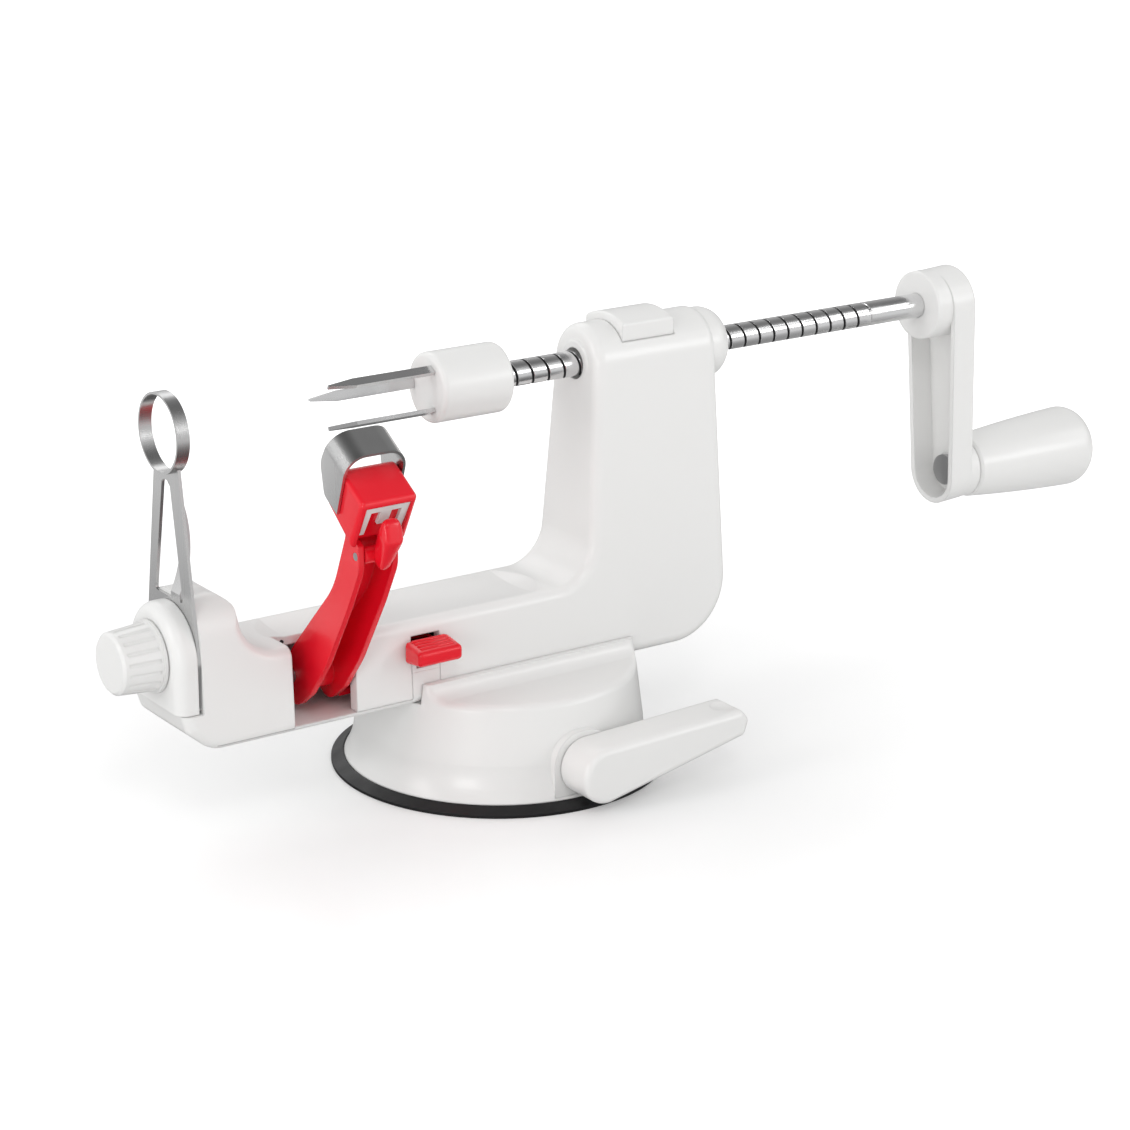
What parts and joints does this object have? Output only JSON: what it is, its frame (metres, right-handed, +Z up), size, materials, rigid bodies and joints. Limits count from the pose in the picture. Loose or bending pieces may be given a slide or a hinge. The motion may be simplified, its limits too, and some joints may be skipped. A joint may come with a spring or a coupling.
{
  "type": "apple peeler",
  "caption": "Hand-cranked apple peeler, corer and slicer on a suction foot: threaded spindle with fork, sprung peeling arm and clamped ring blade.",
  "frame": {"origin": "centre of the suction pad's face on the table", "axes": "+X along the spindle from the corer ring towards the crank, +Y away from the peeling arm's side, +Z up"},
  "size_m": [0.3759, 0.1126, 0.1372],
  "materials": {
    "white_plastic": "glossy moulded, light scuffs",
    "red_plastic": "glossy moulded",
    "grey_plastic": "satin",
    "bright_steel": "bright plated",
    "blade_steel": "brushed stainless",
    "pin_steel": "plain turned",
    "spring_steel": "dark oiled wire",
    "insert_brass": "machined",
    "black_rubber": "matt"
  },
  "bodies": {
    "frame": {"body_frame": "white_plastic", "underside_cover": "white_plastic", "base_housing": "white_plastic", "suction_pad": "black_rubber", "nose_insert": "insert_brass", "arm_pivot_pin": "pin_steel", "arm_spring": "spring_steel", "lock_spring": "spring_steel", "pawl_spring": "spring_steel", "foot_screw_1": "pin_steel", "foot_screw_2": "pin_steel", "foot_screw_3": "pin_steel", "foot_screw_4": "pin_steel", "corer_slicer_blade": "blade_steel"},
    "carrier": {"spindle_carrier": "pin_steel"},
    "spindle": {"spindle_rod": "bright_steel", "fork_hub": "white_plastic", "fork_prong_1": "bright_steel", "fork_prong_2": "bright_steel", "fork_prong_3": "bright_steel", "crank_arm": "white_plastic", "crank_pin": "pin_steel"},
    "handle": {"crank_handle": "white_plastic"},
    "release": {"release_button": "white_plastic", "thread_pawl": "grey_plastic"},
    "arm": {"peeling_arm": "red_plastic", "blade_head": "red_plastic", "blade_insert": "grey_plastic", "peeling_blade": "blade_steel", "latch_pin": "pin_steel"},
    "latch": {"head_latch": "red_plastic"},
    "lock": {"lock_button": "red_plastic"},
    "cap": {"clamp_cap": "white_plastic"},
    "clamp": {"clamp_knob": "white_plastic", "clamp_screw": "pin_steel"},
    "lever": {"suction_lever": "white_plastic", "cam_shaft": "pin_steel"},
    "stud": {"pull_stud": "grey_plastic"}
  },
  "joints": [
    {"name": "spindle_advance", "type": "slide", "parent": "frame", "child": "carrier", "axis": [-1, 0, 0], "range_m": [-0.0262, 0.082]},
    {"name": "spindle_turn", "type": "hinge", "parent": "carrier", "child": "spindle", "pos_m": [0, 0, 0.1226], "axis": [-1, 0, 0], "range_deg": [-1590, 5040]},
    {"name": "crank_handle_spin", "type": "hinge", "parent": "spindle", "child": "handle", "pos_m": [0.19, 0, 0.0633], "axis": [1, 0, 0], "continuous": true},
    {"name": "release_button_press", "type": "slide", "parent": "frame", "child": "release", "axis": [0, 0, -1], "range_m": [0, 0.003], "stiffness_N_per_m": 600, "springref_m": -0.002, "deforming": ["pawl_spring"]},
    {"name": "peeling_arm_swing", "type": "hinge", "parent": "frame", "child": "arm", "pos_m": [-0.07, -0.0035, 0.0431], "axis": [1, 0, 0], "range_deg": [-8, 35], "stiffness_Nm_per_rad": 0.06, "springref_deg": -3.44},
    {"name": "head_latch_press", "type": "hinge", "parent": "arm", "child": "latch", "pos_m": [-0.0692, -0.04098, 0.0899], "axis": [1, 0, 0], "range_deg": [0, 10], "stiffness_Nm_per_rad": 0.01, "springref_deg": -5.73},
    {"name": "arm_lock_press", "type": "slide", "parent": "frame", "child": "lock", "axis": [0, 0, -1], "range_m": [0, 0.0022], "stiffness_N_per_m": 300, "springref_m": -0.002, "deforming": ["lock_spring"]},
    {"name": "clamp_cap_draw", "type": "slide", "parent": "frame", "child": "cap", "axis": [-1, 0, 0], "range_m": [0, 0.003]},
    {"name": "clamp_knob_turn", "type": "hinge", "parent": "cap", "child": "clamp", "pos_m": [-0.12, 0, 0.057], "axis": [-1, 0, 0], "range_deg": [0, 1080]},
    {"name": "suction_lever_turn", "type": "hinge", "parent": "frame", "child": "lever", "pos_m": [0, -0.05, 0.0121], "axis": [0, -1, 0], "range_deg": [0, 170]},
    {"name": "pull_stud_lift", "type": "slide", "parent": "frame", "child": "stud", "axis": [0, 0, 1], "range_m": [0, 0.003]}
  ],
  "couplings": [
    {"joint": "spindle_advance", "follows": "spindle_turn", "m_per_rad": 0.00092787},
    {"joint": "clamp_knob_turn", "follows": "clamp_cap_draw", "rad_per_m": 6283},
    {"joint": "pull_stud_lift", "follows": "suction_lever_turn", "m_per_rad": 0.0010101}
  ]
}
